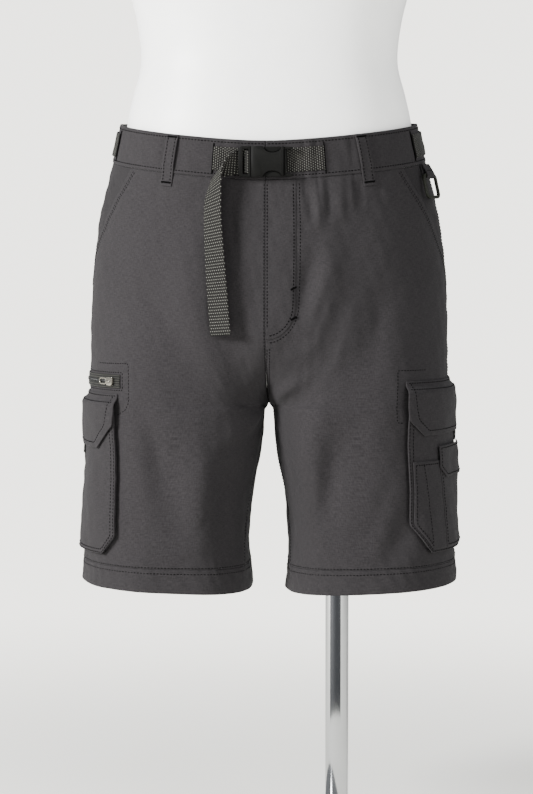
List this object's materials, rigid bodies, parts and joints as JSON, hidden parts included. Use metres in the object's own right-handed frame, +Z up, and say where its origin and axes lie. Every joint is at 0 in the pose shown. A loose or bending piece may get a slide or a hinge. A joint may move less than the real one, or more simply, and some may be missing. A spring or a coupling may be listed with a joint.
{
  "type": "cargo shorts on torso form and stand",
  "caption": "Knee-length cargo shorts with bellows pockets, webbing belt and thigh zip, worn by a smooth limbless torso form on a pole and round base.",
  "frame": {"origin": "centre of the round base's underside, on the floor", "axes": "+Z up, -Y towards the front of the shorts, +X towards the wearer's left"},
  "size_m": [0.4115, 0.2812, 0.955],
  "materials": {
    "cloth": "fine plain weave, matt, charcoal",
    "facing": "fine plain weave, matt, charcoal",
    "webbing": "ribbed webbing with pale flecks",
    "buckle": "moulded, satin black",
    "ring": "moulded, satin dark olive",
    "zip": "woven zip tape, black",
    "metal": "bright nickel",
    "chrome": "polished",
    "form": "smooth satin white shell"
  },
  "bodies": {
    "shorts_and_stand": {"form_torso": "form", "form_collar": "chrome", "form_pole": "chrome", "form_base": "chrome", "pocket_facing_right": "facing", "pocket_facing_left": "facing", "belt_right": "webbing", "belt_left": "webbing", "belt_back": "webbing", "belt_tail": "webbing", "flap_pull_right": "webbing", "flap_pull_left": "webbing", "buckle_ladder": "buckle", "buckle_body": "buckle", "zip_tape": "zip", "zip_slider": "metal", "front_right": "cloth", "front_left": "cloth", "back_right": "cloth", "back_left": "cloth", "hem_right": "cloth", "hem_left": "cloth", "waistband_right": "cloth", "waistband_left": "cloth", "waistband_back": "cloth", "fly": "cloth", "belt_loop_front_right": "cloth", "belt_loop_front_left": "cloth", "belt_loop_back_right": "cloth", "belt_loop_back_left": "cloth", "belt_loop_back_centre": "cloth", "cargo_right_pocket": "cloth", "cargo_left_pocket": "cloth", "cargo_right_flap": "cloth", "cargo_left_flap": "cloth", "cargo_left_patch_pocket": "cloth", "cargo_left_side_pocket": "cloth", "cargo_left_small_flap": "cloth", "ring_tab": "cloth"},
    "zip_pull": {"zip_pull": "metal"},
    "ring": {"ring": "ring"}
  },
  "joints": [
    {"name": "zip_pull_turn", "type": "hinge", "parent": "shorts_and_stand", "child": "zip_pull", "pos_m": [-0.16689, -0.08535, 0.50522], "axis": [0, 0, 1], "range_deg": [0, 90]},
    {"name": "ring_swing", "type": "hinge", "parent": "shorts_and_stand", "child": "ring", "pos_m": [0.1685, -0.041, 0.719], "axis": [-0.5446, -0.8387, 0], "range_deg": [0, 100]}
  ]
}
